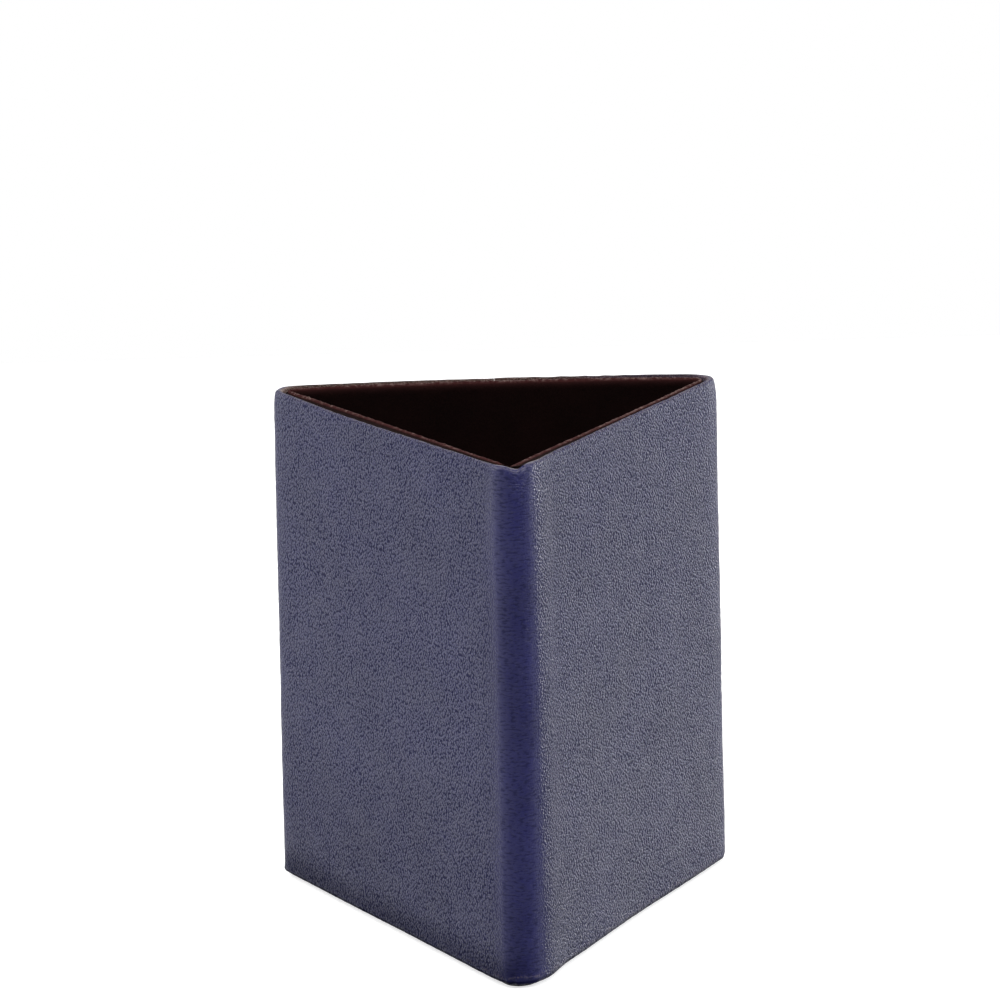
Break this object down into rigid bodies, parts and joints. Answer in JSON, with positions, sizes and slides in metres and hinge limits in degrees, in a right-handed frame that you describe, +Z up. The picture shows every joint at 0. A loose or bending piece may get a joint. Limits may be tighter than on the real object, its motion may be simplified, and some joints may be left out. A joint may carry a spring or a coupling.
{
  "type": "pen holder cup",
  "caption": "Triangular desk pen cup with rounded vertical corners, wrapped in navy pebble-grain leatherette and lined with dark brown suede.",
  "frame": {"origin": "on the resting plane, under the middle of the cup's bounding box", "axes": "+Z up out of the open top; +Y towards the rear wall, so one vertical corner points to -Y; +X to the right when looking along +Y"},
  "size_m": [0.08, 0.0718, 0.09],
  "materials": {
    "leatherette": "navy pebble grain, satin",
    "board": "raw fibreboard",
    "lining": "dark brown suede, matt",
    "base_sheet": "black non-woven sheet, matt"
  },
  "bodies": {
    "root": {"outer_cover": "leatherette", "base_board": "board", "floor_lining": "lining", "base_cover": "base_sheet", "left_wall_board": "board", "left_wall_lining": "lining", "right_wall_board": "board", "right_wall_lining": "lining", "back_wall_board": "board", "back_wall_lining": "lining"}
  },
  "joints": []
}
